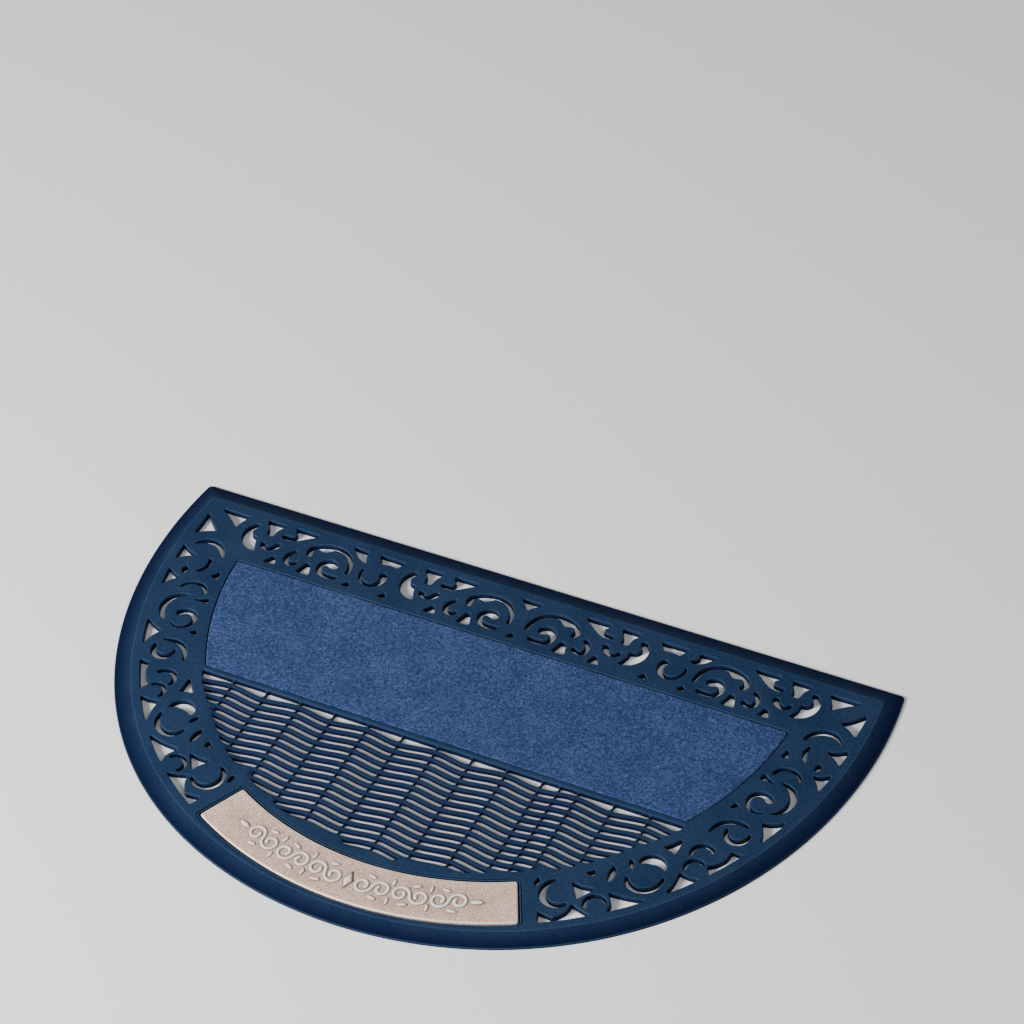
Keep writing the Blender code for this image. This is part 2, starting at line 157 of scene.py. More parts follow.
# Cornered openings of the repeat. Columns: name, corners as (place, depth).
CORNERED_REPEATED = [
    ("comma", [(125, 32.5), (130.3, 38.5), (132.6, 47), (130.7, 56), (124.7, 63.6), (116.7, 67.4),
               (109.3, 67.8), (112.9, 60.5), (114.8, 55), (114.6, 49.2), (118.8, 49.2), (122.8, 47.2),
               (124.2, 43.4), (122.8, 39.6), (119.9, 36.5), (121, 33)]),
    ("dart", [(58.3, 77.2), (43.6, 77.2), (48.4, 62.3), (53.2, 62.3)]),
    ("pip", [(95.2, 77), (81.2, 77), (85.3, 67), (88.2, 66.3)]),
    ("funnel", [(96.6, 24.2), (115.6, 24.2), (115.8, 27.5), (110.2, 34), (109.6, 43.4),
                (101.8, 43.4), (101.4, 34.5), (96.5, 27.5)]),
    ("tailed wedge", [(58.8, 24), (84, 23.7), (84, 28.3), (79.8, 31.5), (80.7, 35.4), (86, 36.5),
                      (92.4, 36.6), (93.2, 40), (90.5, 42.4), (82, 42.2), (76, 39.3), (66, 32),
                      (58.5, 27)]),
]

# Curled openings. Each is a stroke along a spiral about a point of the border.
# Columns: name, place, depth from the edge, radius at start and end, start angle, sweep, width at
# start, middle and end.
CURL_BETWEEN = ("cup hook", 160, 54, 14, 10, -20, 225, 2, 4.5, 8)

# The same columns, with the place as an angle from the middle of the round edge.
CURLS_ALONG_ROUND = [
    ("corner hook", 86.3, 48, 16, 21, 228, -133, 2, 7, 3),
    ("small hook", 84.4, 47, 14, 14, 115, -85, 2.5, 4.5, 3),
    ("open hook", 77.0, 60, 16, 12, 242, -142, 2.5, 4.5, 4),
    ("arc", 73.3, 56, 18, 21, 177, 146, 2.5, 7, 1.5),
    ("volute", 71.0, 60, 9, 13, 214, -270, 8, 5, 1.5),
    ("crescent", 62.3, 47, 21.5, 21.5, 180, -112, 2.5, 5.5, 2),
    ("cup", 64.1, 48, 11, 11, 239, 190, 2.5, 7, 2),
    ("arch", 57.2, 49, 10.5, 10, 207, -178, 4, 5, 3),
    ("small arch", 54.9, 40, 8, 8.5, 196, -176, 3, 4.5, 3),
    ("fat comma", 48.5, 57, 14.5, 12.5, 206, -126, 2, 12, 5),
    ("great cup", 47.1, 53, 19, 14, 216, 161, 2.5, 6.5, 3),
    ("arch", 38.7, 37, 9, 9, 186, -197, 3, 4.5, 3),
    ("great hook", 33.8, 56, 16, 14, 88, -195, 3, 7, 3.5),
]

# Single cornered openings. Columns: name, place, depth, hollowing of every side but the first,
# corners as pairs (along the border, across it) about that point.
CORNERED_ALONG_STRAIGHT = [
    ("pip", 140, 73, 0.0, [(6, 3.5), (-6, 3.5), (-1, -4)]),
    ("pip", 180, 73, 0.0, [(6, 3.5), (-6, 3.5), (-1, -4)]),
    ("cup", 152, 31, 0.0, [(15, -6), (-15, -5), (-10.5, 1), (-9, 5), (-1, 3.5), (9, 5.5), (11, 0)]),
    ("leaning wedge", 185, 32, 0.0, [(12, -7), (-7, -6), (-6, 1), (-13, 6), (-9, 9), (0, 6), (6, -1)]),
    ("corner wedge", 327, 33, 2.0, [(19, -6), (-16, -6), (-8, 13)]),
    ("corner wedge", 346, 53, 2.0, [(8, 16), (8, -16), (-13, 4)]),
]
CORNERED_AT_MIDDLE = [
    ("middle wedge", 0, 31, 0.0, [(13, -6), (-13, -6), (-5, 1), (0, 7), (5, 1)]),
    ("middle pip", 0, 73, 0.0, [(5.5, 3.5), (-5.5, 3.5), (0, -4)]),
]
CORNERED_ALONG_ROUND = [
    ("wedge", 85.7, 35, 2.0, [(-10, -10), (10, -10), (0, 11)]),
    ("wedge", 80.0, 33, 2.0, [(-12, -8), (12, -8), (-2, 8)]),
    ("long wedge", 68.0, 33, 2.0, [(-17, -8), (17, -8), (-1, 9)]),
    ("double wedge", 58.9, 30, 0.0, [(-18, -5), (18, -5), (13, 5), (4, 1), (-4, 1), (-13, 5)]),
    ("long wedge", 51.5, 30, 1.5, [(-17, -5), (17, -5), (-6, 12)]),
    ("great wedge", 42.9, 30, 1.0, [(-19, -5), (18, -5), (11, 3), (10, 17)]),
    ("double wedge", 33.7, 30, 0.0, [(-23, -5), (22, -5), (20, 8), (8, -1), (-3, 3), (-10, 12),
                                     (-15, 5)]),
    ("leaf", 37.4, 56, 1.5, [(-13, -2), (7.5, -10), (7.5, 12)]),
    ("inner wedge", 54.5, 71, 1.0, [(-13, 3), (5, -9), (11, 5)]),
    ("pip", 82.0, 75, 0.0, [(6, 3), (-8, 2), (2, -6)]),
    ("dart", 75.6, 71, 0.8, [(-4.5, 8), (4.5, 8), (0, -10)]),
    ("pip", 67.5, 73, 0.0, [(5, 4), (-5, 3), (-1, -5)]),
    ("pip", 39.7, 72, 0.0, [(6, 3.5), (-6, 3.5), (-1, -4.5)]),
]

# Short straight openings. Columns: place, depth, length, width, lean from the border's run.
BARS_ALONG_ROUND = [
    (82.1, 41, 11, 6, 0),
    (46.5, 70, 13, 5, -72),
    (42.8, 66, 20, 6.5, -55),
    (30.6, 72, 12, 4.5, -65),
]

# Raised ornament of the plate, in mm, mirrored about the middle. Scrolls: place, depth, size,
# width, and 1 or -1 for its hand. Leaves: place, depth, length, width, lean in degrees.
RELIEF_SCROLLS = [(24, 0, 9, 3.1, 1), (60.5, 0, 9, 3.1, -1), (97, 0, 9, 3.1, 1)]
RELIEF_LEAVES = [
    (20, 11.6, 10, 3.4, -12), (28, -11.6, 10, 3.4, -12),
    (56.5, -11.6, 10, 3.4, 12), (64.5, 11.6, 10, 3.4, 12),
    (93, 11.6, 10, 3.4, -12), (101, -11.6, 10, 3.4, -12),
    (42.2, 11, 9, 3.2, 90), (42.2, -11, 9, 3.2, 90), (78.8, 11, 9, 3.2, 90), (78.8, -11, 9, 3.2, 90),
    (122.5, 0, 13, 4.8, 0),
]
RELIEF_LOZENGE = [(0, -9), (4.5, 0), (0, 9), (-4.5, 0)]

# Profile of the raised ornament, from its foot up. Columns: share of the full width, distance
# further out in mm, height in mm, then turn and painted light as below: painted shade round the
# foot, and the paler crest, partly its own cream tone and partly a painted highlight. The first
# ring lies flat, so that the painted shade of the foot ends there.
RELIEF_PROFILE = [
    (1.26, 0.35, 0.00, 90, -0.2), (1.26, 0, 0.00, 50, -1), (1.00, 0, 0.42, 25, -0.7),
    (0.84, 0, 0.66, 48, 0.6), (0.58, 0, 0.77, 70, 1), (0.24, 0, 0.80, 86, 1),
]

# Profiles carried along the outlines. Columns: distance from the outline in mm, height in mm,
# turn of the surface's normal from level to upright in degrees, painted light from -1, painted
# shade, to 1, painted highlight.
# The rim has painted highlights on its lip and on the shoulder at the top of the bevel; the bevel is
# darkened all round, part of the way to the painted-shade colour.
RIM_PROFILE = [
    (0.00, 0.00, 0, 0), (0.00, 1.10, 0, 0), (0.12, 1.45, 25, 0.5), (0.45, 1.80, 52, 1),
    (1.00, 2.05, 76, 0.3), (1.80, 2.25, 76, -0.45), (15.8, 5.70, 76, -0.45), (16.5, 5.86, 80, 0.4),
    (17.2, 5.97, 86, 0.5), (17.9, 6.00, 90, 0),
]
# A painted highlight runs along the recess's rounded top edge.
FELT_RECESS_PROFILE = [
    (0.00, 2.40, 0, 0), (0.00, 5.40, 0, 0), (0.12, 5.75, 40, 0.6), (0.40, 5.95, 70, 0.6),
    (0.70, 6.00, 90, 0),
]
# Painted shade lies on the bead's inner face and in the groove outside it; painted highlights lie on
# the bead's crest and the rounded top edge.
PLATE_RECESS_PROFILE = [
    (0.00, 2.40, 0, -1), (0.00, 4.80, 0, -0.6), (0.12, 5.22, 35, 0), (0.42, 5.50, 70, 0.5),
    (0.85, 5.58, 90, 0.7), (1.28, 5.50, 110, 0.4), (1.58, 5.22, 145, 0), (1.70, 4.80, 170, -0.7),
    (1.80, 4.50, 140, -1), (2.00, 4.40, 90, -1), (2.20, 4.55, 30, -1), (2.28, 5.30, 5, -0.6),
    (2.38, 5.70, 40, 0), (2.62, 5.94, 72, 0.3), (2.90, 6.00, 90, 0),
]

# Rounded edges of the openings and the slots, from the floor up: the turn and the painted light of
# each ring, a painted highlight along the openings' edges, and painted shade on the slots' flanks
# with a painted highlight on the ribs' crests. The openings close in by the draft, in mm, towards
# the floor.
EDGE_TURNS = [0, 0, 30, 60, 90]
OPENING_PAINTED_LIGHT = [0, 0, 0.3, 0.6, 0]
SLOT_PAINTED_LIGHT = [-1, -0.8, -0.5, -0.1, 0.2]
OPENING_DRAFT = 0.5


def unit(vectors):
    """Vectors divided by their lengths."""
    return vectors / np.linalg.norm(vectors, axis=-1, keepdims=True)


def outward(ring):
    """Outward normals of closed anticlockwise outlines.

    Each is the run from the point before to the point after, turned a quarter to the right.
    """
    run = np.roll(ring, -1, axis=-2) - np.roll(ring, 1, axis=-2)
    return unit(np.stack([run[..., 1], -run[..., 0]], axis=-1))


def anticlockwise(ring):
    """The outline in anticlockwise order, by the sign of the area that it encloses."""
    after = np.roll(ring, -1, axis=0)
    area = np.sum(ring[:, 0] * after[:, 1] - ring[:, 1] * after[:, 0])
    return ring if area > 0 else ring[::-1]


def at_height(flat, height):
    """Points or directions of the plane, given a height."""
    return np.concatenate([flat, np.broadcast_to(height, flat.shape[:-1] + (1,))], axis=-1)


def turned_up(facing, turn):
    """Level directions turned upwards: each times the cosine of the turn, with its sine as height."""
    return at_height(facing * np.cos(turn), np.sin(turn))


def edge_radius(angle):
    """Radius of the round edge at an angle: a circle less a cosine of four times the angle."""
    return ARC_RADIUS - ARC_SQUARENESS * np.cos(4 * angle)


def from_centre(radius, angle):
    """Points at a radius and angle about the centre of the round edge, 0 towards -Y."""
    x, y = np.broadcast_arrays(radius * np.sin(angle), ARC_LINE - radius * np.cos(angle))
    return np.stack([x, y], axis=-1)


def bend(start, corner, end):
    """A corner rounded by the parabola (1-t)^2 start + 2t(1-t) corner + t^2 end."""
    t = np.linspace(0, 1, 7)[1:-1, None]
    return (1 - t) ** 2 * start + 2 * t * (1 - t) * corner + t * t * end


def joined(sides, corners):
    """A closed outline of sides, each bent round its corner into the next."""
    after = sides[1:] + sides[:1]
    return np.concatenate([part for side, corner, following in zip(sides, corners, after)
                           for part in (side, bend(side[-1], corner, following[0]))])


def half_round(radius_at, near, reach, stations=150):
    """A straight side at a distance from the mat's straight edge, closed by a round side.

    The round side is radius_at(angle) about the centre. Both corners, where its cosine times
    the radius meets the straight side, are rounded over the same reach.
    """
    corner = math.pi / 2
    for _ in range(25):
        corner = math.acos((near - ARC_CENTRE) / radius_at(corner))
    trim = corner - reach / radius_at(corner)
    angles = np.linspace(-trim, trim, stations)
    arc = from_centre(radius_at(angles), angles)
    tip = from_centre(radius_at(corner), corner)
    level = DEPTH / 2 - near
    across = np.linspace(tip[0] - reach, reach - tip[0], stations // 3)
    straight = np.stack([across, np.full_like(across, level)], axis=-1)
    return joined([arc, straight], [tip, tip * (-1, 1)])


def rim_outline(inset):
    """The mat's outline moved inwards: both the radius and the straight edge give way by the inset."""
    return half_round(lambda angle: edge_radius(angle) - inset, inset, CORNER_REACH)


def felt_outline(growth):
    """Outline of the insert's recess, grown outwards: two straight sides and two round ends."""
    radius, near, far = FELT_RADIUS + growth, FELT_NEAR - growth, FELT_FAR + growth
    low, high = (math.acos((side - ARC_CENTRE) / radius) for side in (far, near))
    reach_low, reach_high = max(FELT_FAR_CORNER + growth, SMALLEST_CORNER), FELT_CORNER + growth
    angles = np.linspace(low + reach_low / radius, high - reach_high / radius, 30)
    right = from_centre(radius, angles)
    tip_low, tip_high = from_centre(radius, low), from_centre(radius, high)
    across = np.linspace(1, -1, 60)[:, None]
    top = np.concatenate([across * (tip_high[0] - reach_high), 0 * across + tip_high[1]], axis=1)
    bottom = np.concatenate([-across * (tip_low[0] - reach_low), 0 * across + tip_low[1]], axis=1)
    left = right[::-1] * (-1, 1)
    return joined([right, top, left, bottom],
                  [tip_high, tip_high * (-1, 1), tip_low * (-1, 1), tip_low])


def plate_outline(growth):
    """Outline of the plate's recess, grown outwards: two arcs and two radial ends."""
    inner, outer = PLATE_INNER - growth, PLATE_OUTER + growth
    half = math.radians(PLATE_HALF_ANGLE) + growth / PLATE_MIDDLE
    reach = PLATE_CORNER + growth
    angles = np.linspace(-1, 1, 60)
    far = from_centre(outer, angles * (half - reach / outer))
    close = from_centre(inner, -angles * (half - reach / inner))
    side = from_centre(np.linspace(outer - reach, inner + reach, 10), half)
    other = side[::-1] * (-1, 1)
    tip_far, tip_close = from_centre(outer, half), from_centre(inner, half)
    return joined([far, side, close, other],
                  [tip_far, tip_close, tip_close * (-1, 1), tip_far * (-1, 1)])


def capped(sides, centre, half, aside, ahead):
    """Outline of two sides about a centre line, with a half circle as wide as it at each end."""
    turn = np.linspace(0, math.pi, 7)[:, None]
    end_cap = centre[-1] + half[-1] * (np.cos(turn) * aside[-1] + np.sin(turn) * ahead[-1])
    start_cap = centre[0] - half[0] * (np.cos(turn) * aside[0] + np.sin(turn) * ahead[0])
    return np.concatenate([sides[0][1:-1], end_cap, sides[1][-2:0:-1], start_cap])


def stroke(radius_0, radius_1, start, sweep, width_0, width_mid, width_1):
    """Outline of a swelling stroke along a spiral.

    The centre line is at angle = start + sweep t and radius = radius_0 + (radius_1 - radius_0) t.
    The width is the parabola through its three widths.
    """
    t = np.linspace(0, 1, 2 + max(6, round(abs(sweep) / 8)))[:, None]
    angle = np.radians(start + sweep * t)
    radius = radius_0 + (radius_1 - radius_0) * t
    width = width_0 * (1 - t) * (1 - 2 * t) + 4 * width_mid * t * (1 - t) + width_1 * t * (2 * t - 1)
    half = width / 2
    radial = np.concatenate([np.cos(angle), np.sin(angle)], axis=1)
    ahead = math.copysign(1, sweep) * np.stack([-radial[:, 1], radial[:, 0]], axis=1)
    sides = [(radius + half) * radial, (radius - half) * radial]
    return capped(sides, radius * radial, half, radial, ahead)


def channel(stations, cusp=None, steps=3):
    """Outline of a channel through stations of place, depth and width.

    Between two stations every column is the cubic through both, with the stations' own slopes.
    Each side is the centre line moved by half the width. A cusp replaces the nearer side within
    its reach by two straight runs that meet at a blunt tip.
    """
    knots = np.array(stations, float)
    gap = np.linalg.norm(np.diff(knots[:, :2], axis=0), axis=1)
    slope = np.gradient(knots, np.concatenate([[0], np.cumsum(gap)]), axis=0, edge_order=2)
    t = np.linspace(0, 1, steps, endpoint=False)[None, :, None]
    gap = gap[:, None, None]
    run = (knots[:-1, None] * (2 * t ** 3 - 3 * t * t + 1)
           + slope[:-1, None] * gap * (t ** 3 - 2 * t * t + t)
           + knots[1:, None] * (3 * t * t - 2 * t ** 3) + slope[1:, None] * gap * (t ** 3 - t * t))
    run = np.concatenate([run.reshape(-1, 3), knots[-1:]])
    centre, half = run[:, :2], run[:, 2:] / 2
    ahead = unit(np.gradient(centre, axis=0))
    aside = np.stack([ahead[:, 1], -ahead[:, 0]], axis=1)
    sides = [centre + half * aside, centre - half * aside]
    if cusp:
        tip = np.array(cusp[:2])
        away = [np.linalg.norm(side - tip, axis=1) for side in sides]
        nearer = int(away[1].min() < away[0].min())
        taken = np.flatnonzero(away[nearer] < cusp[2])
        before, after = sides[nearer][:taken[0]], sides[nearer][taken[-1] + 1:]
        blunt = np.stack([0.2 * before[-1] + 0.8 * tip, 0.05 * (before[-1] + after[0]) + 0.9 * tip,
                          0.2 * after[0] + 0.8 * tip])
        sides[nearer] = np.concatenate([before, blunt, after])
    return capped(sides, centre, half, aside, ahead)


def thinned(ring):
    """The outline without the points that lie too close to the one before."""
    return ring[np.linalg.norm(ring - np.roll(ring, 1, axis=0), axis=1) > CLOSEST_POINTS]


def softened(corners, hollow=0.0, tip=1.3, nook=2.2):
    """Outline with straight or hollow sides and an arc at each corner.

    A hollow side has a middle point, moved towards the corners' mean. The first side is straight.
    A gentle corner's arc takes up to nearly half of its shorter side, a right-angled one has the
    nook's radius and a sharp one the tip's. Each arc is its centre plus the radius times a
    direction that turns evenly from the normal of the side before to that of the side after.
    One point halves each side.
    """
    given = np.array(corners, float)
    corners = anticlockwise(given)
    if corners is not given:
        corners = np.roll(corners, 2, axis=0)
    if hollow:
        middles = (corners + np.roll(corners, -1, axis=0)) / 2
        middles += unit(corners.mean(axis=0) - middles) * hollow
        corners = np.delete(np.stack([corners, middles], axis=1).reshape(-1, 2), 1, axis=0)
    arriving = corners - np.roll(corners, 1, axis=0)
    leaving = np.roll(corners, -1, axis=0) - corners
    shorter = np.minimum(np.linalg.norm(arriving, axis=1), np.linalg.norm(leaving, axis=1))
    arriving, leaving = unit(arriving), unit(leaving)
    turn = np.arctan2(arriving[:, 0] * leaving[:, 1] - arriving[:, 1] * leaving[:, 0],
                      np.sum(arriving * leaving, axis=1))
    bend_size = np.degrees(np.abs(turn))
    radii = np.where(bend_size > SHARP_TURN, tip, np.where(bend_size > NOOK_TURN, nook, GENTLE_RADIUS))
    slope = np.tan(np.abs(turn) / 2)
    radii = np.minimum(radii, ARC_SHARE * shorter / np.maximum(slope, 1e-3))
    signed = np.sign(turn) * radii
    normal = np.stack([arriving[:, 1], -arriving[:, 0]], axis=1)
    centres = corners - arriving * (radii * slope)[:, None] - normal * signed[:, None]
    angles = np.arctan2(normal[:, 1], normal[:, 0])[:, None] + turn[:, None] * np.linspace(0, 1, 4)
    directions = np.stack([np.cos(angles), np.sin(angles)], axis=-1)
    arcs = centres[:, None] + signed[:, None, None] * directions
    sides = (arcs[:, -1:] + np.roll(arcs[:, :1], -1, axis=0)) / 2
    return np.concatenate([arcs, sides], axis=1).reshape(-1, 2)


def scroll(size, width, hand, share):
    """Outline of an S of two equal spirals that meet in its middle.

    Each turns about a point at its size from the middle, at angle = 180 - 390 t and
    radius = size (1 - 0.62 t), and its width grows as 1 + 0.15 t^6.
    """
    t = np.linspace(0, 1, 15)
    angle = np.radians(180 - 390 * t)
    radius = size * (1 - 0.62 * t)
    right = np.stack([size + radius * np.cos(angle), hand * radius * np.sin(angle),
                      share * width * (1 + 0.15 * t ** 6)], axis=1)
    return channel(np.concatenate([right[:0:-1] * (-1, -1, 1), right]), steps=2)


def lens(length, width, lean, share=1.0):
    """Outline of a short lens, six corners rounded, leaning by an angle."""
    corners = np.array([(0.5, 0), (0.25, 0.5), (-0.25, 0.5), (-0.5, 0), (-0.25, -0.5), (0.25, -0.5)])
    corners = corners * (length * (0.5 + 0.5 * share), width * share)
    cosine, sine = math.cos(math.radians(lean)), math.sin(math.radians(lean))
    return softened(corners @ np.array([(cosine, sine), (-sine, cosine)]), tip=0.3, nook=0.3)


def on_straight(outline, place, depth):
    """Border coordinates in mm laid along the straight edge."""
    return np.stack([outline[:, 0] + place, DEPTH / 2 / MM - depth - outline[:, 1]], axis=-1) * MM


def on_round(outline, place, depth):
    """Border coordinates in mm laid along the round edge: the first turns, the second goes inwards."""
    angle = math.radians(place) - outline[:, 0] / BAND_MIDDLE
    return from_centre(edge_radius(angle) - (depth + outline[:, 1]) * MM, angle)


def on_plate(outline, place, depth):
    """Plate coordinates in mm laid along the plate's middle arc."""
    angle = (place + outline[:, 0]) * MM / PLATE_MIDDLE
    return from_centre(PLATE_MIDDLE - (depth + outline[:, 1]) * MM, angle)


def cornered(table, laid_on):
    """The cornered openings of a table, laid on the straight or the round border."""
    return [laid_on(softened(corners, hollow), place, depth)
            for _, place, depth, hollow, corners in table]


def border_openings():
    """Outlines of all openings in the border, both halves."""
    half = []
    for offset in (0.0, REPEAT):
        half += [on_straight(channel(stations, cusp), offset, 0)
                 for _, stations, cusp in CHANNELS_REPEATED]
        half += [on_straight(softened(corners), offset, 0) for _, corners in CORNERED_REPEATED]
    half.append(on_straight(stroke(*CURL_BETWEEN[3:]), *CURL_BETWEEN[1:3]))
    half += cornered(CORNERED_ALONG_STRAIGHT, on_straight)
    half += [on_round(stroke(*shape), place, depth) for _, place, depth, *shape in CURLS_ALONG_ROUND]
    half += cornered(CORNERED_ALONG_ROUND, on_round)
    half += [on_round(lens(*shape), place, depth) for place, depth, *shape in BARS_ALONG_ROUND]
    half = [thinned(ring) for ring in half]
    other = [ring * (-1, 1) for ring in half]
    return [anticlockwise(ring) for ring in half + other + cornered(CORNERED_AT_MIDDLE, on_straight)]


def deck_height(points):
    """Height of the rubber's top: level in the border, sunk in the grille.

    The sink follows the smooth step 3s^2 - 2s^3 of the distance inside the guide line, the
    smaller of those from its round and its straight side, over the length of the ramp.
    """
    distance = DEPTH / 2 - points[..., 1]
    radius = np.hypot(points[..., 0], points[..., 1] - ARC_LINE)
    share = np.minimum((GUIDE_RADIUS - radius) / RAMP_ROUND, (distance - GUIDE_NEAR) / RAMP_NEAR)
    share = np.clip(share, 0, 1)
    return BODY_TOP - (BODY_TOP - GRILLE_TOP) * share * share * (3 - 2 * share)


def tilted(normals, points, height):
    """Normals sheared by the slope of a height function, from its differences over 0.02 mm."""
    reach = 1e-5
    slope_x = (height(points + (reach, 0)) - height(points - (reach, 0))) / (2 * reach)
    slope_y = (height(points + (0, reach)) - height(points - (0, reach))) / (2 * reach)
    up = normals[..., 2]
    return unit(np.stack([normals[..., 0] - up * slope_x, normals[..., 1] - up * slope_y, up], axis=-1))


def slot_spans():
    """Ends of every slot: cells between the ties, cut off by the grille's round side.

    Returns the row's middle, then the ends on the near side and on the far side, and whether
    each end meets a tie.
    """
    count = math.ceil(GRILLE_RADIUS / CELL_PITCH)
    low = np.arange(-count, count) * CELL_PITCH + TIE_WIDTH / 2
    high = low + CELL_PITCH - TIE_WIDTH
    starts = np.sort(np.append(low, EXTRA_TIE + EXTRA_TIE_WIDTH / 2))
    ends = np.sort(np.append(high, EXTRA_TIE - EXTRA_TIE_WIDTH / 2))
    middle = FIRST_ROW + np.arange(ROW_COUNT) * ROW_PITCH
    level = middle[:, None] + np.array([-SLOT_HALF, SLOT_HALF]) - ARC_CENTRE
    limit = np.sqrt(GRILLE_RADIUS ** 2 - level ** 2)
    limit[-1] = (LAST_ROW_REACH, LAST_ROW_REACH - LAST_ROW_LEAN)
    start = np.maximum(starts[None, :, None], -limit[:, None, :])
    end = np.minimum(ends[None, :, None], limit[:, None, :])
    kept = np.min(end - start, axis=2) >= SHORTEST_SLOT
    rows = np.broadcast_to(middle[:, None], kept.shape)[kept]
    tied = np.stack([start[..., 0] == starts[None], end[..., 0] == ends[None]], axis=-1)[kept]
    return rows, start[kept], end[kept], tied


def slot_samples():
    """One round of a rounded rectangle: shares of its straight halves, and outward directions."""
    runs = np.linspace(1, -1, 11)[1:-1], np.array([0.55, 0.0, -0.55])
    quarter = np.radians([0, 30, 60, 90])
    corners = np.array([(1, 1), (-1, 1), (-1, -1), (1, -1)], float)
    share, face = [], []
    for index, corner in enumerate(corners):
        turn = quarter + index * math.pi / 2
        after = corners[index - 3]
        run = runs[index % 2][:, None]
        share += [np.tile(corner, (4, 1)), (corner + after + (corner - after) * run) / 2]
        face += [np.stack([np.cos(turn), np.sin(turn)], axis=1),
                 np.tile((corner + after) / 2, (len(run), 1))]
    return np.concatenate(share), np.concatenate(face)


def slot_rings(rounding, drop, dip):
    """Rings of every slot, from the floor up: (slots, rings, samples, 3) and their normals.

    Each slot is a rounded rectangle in a frame where x runs along the rib and w across it, widened
    by the profile. Its ends lean with the grille's round side, and the wave
    h cos(pi x / pitch) moves it across. The first row's near side stays straight. The rims sink
    by dip (1 - (w / half)^2)^2 at the ties, and by a share of that at a free end.
    """
    rows, start, end, tied = slot_spans()
    share, face = slot_samples()
    turn = np.radians(EDGE_TURNS)
    grow = (rounding * (1 - np.cos(turn)))[None, :, None]
    centre = ((start + end).mean(axis=1) / 2)[:, None, None]
    half = ((end - start).mean(axis=1) / 2)[:, None, None]
    along = share[:, 0] * (half - SLOT_CORNER) + face[:, 0] * (SLOT_CORNER + END_ROUNDING * grow)
    across = share[:, 1] * (SLOT_HALF - SLOT_CORNER) + face[:, 1] * (SLOT_CORNER + grow)
    lean_start = ((start[:, 1] - start[:, 0]) / (2 * SLOT_HALF))[:, None, None]
    lean_end = ((end[:, 1] - end[:, 0]) / (2 * SLOT_HALF))[:, None, None]
    side = np.clip(along / half, -1, 1)
    x = centre + along - across * (lean_start * (1 - side) + lean_end * (1 + side)) / 2
    middle = rows[:, None, None]
    distance = middle - across - WAVE_HEIGHT * np.cos(np.pi * x / CELL_PITCH)
    straight = GRILLE_NEAR + (SLOT_HALF - across)
    blend = np.clip((across + SLOT_HALF) / (2 * SLOT_HALF), 0, 1)
    first = middle < FIRST_ROW + ROW_PITCH / 2
    distance = np.where(first, straight * blend + distance * (1 - blend), distance)
    flat = np.stack([x, DEPTH / 2 - distance], axis=-1)
    sunk = dip * (1 - np.clip(np.abs(across) / (SLOT_HALF + DIP_MARGIN), 0, 1) ** 2) ** 2
    meets = np.where(side < 0, tied[:, None, None, 0], tied[:, None, None, 1])
    sunk = sunk * np.where(meets, 1.0, FREE_END_DIP)
    z = deck_height(flat) - sunk - (drop * (1 - np.sin(turn)))[None, :, None]
    z[:, 0] = 0.0
    normals = turned_up(-outward(flat), turn[None, :, None, None])
    return at_height(flat, z[..., None]), tilted(normals, flat, deck_height)


def linked(name, data):
    """A new object of the scene."""
    thing = bpy.data.objects.new(name, data)
    bpy.context.scene.collection.objects.link(thing)
    return thing


